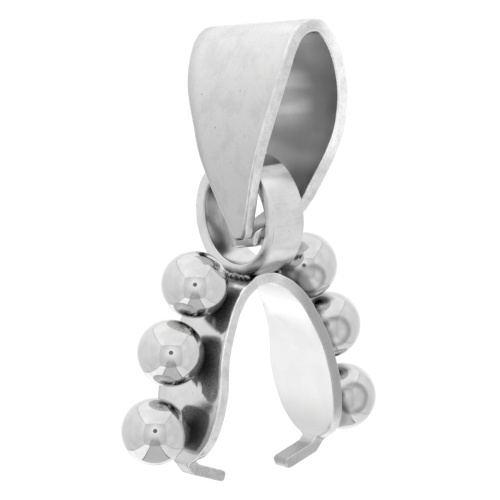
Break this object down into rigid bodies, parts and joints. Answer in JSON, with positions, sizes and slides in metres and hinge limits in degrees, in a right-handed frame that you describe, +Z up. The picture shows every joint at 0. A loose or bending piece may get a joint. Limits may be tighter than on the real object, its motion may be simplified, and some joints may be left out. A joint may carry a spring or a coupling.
{
  "type": "bail finding",
  "caption": "Silver pendant bail: a folded leaf-shaped loop for a chain, with a hanging ring and a two-prong claw set with balls.",
  "frame": {"origin": "the top inside the loop, where the chain lies and the finding hangs", "axes": "+X along the chain, to the right as worn; -Y is the front; +Z is up"},
  "size_m": [0.0059, 0.0116, 0.0173],
  "materials": {
    "loop_silver": "satin silver",
    "claw_silver": "polished silver"
  },
  "bodies": {
    "loop": {"bail_loop": "loop_silver"},
    "claw": {"claw": "claw_silver"}
  },
  "joints": [
    {"name": "ring_swing", "type": "hinge", "parent": "loop", "child": "claw", "pos_m": [0.00063, -0.00122, -0.00644], "axis": [0, 1, 0], "range_deg": [-90, 100]}
  ]
}
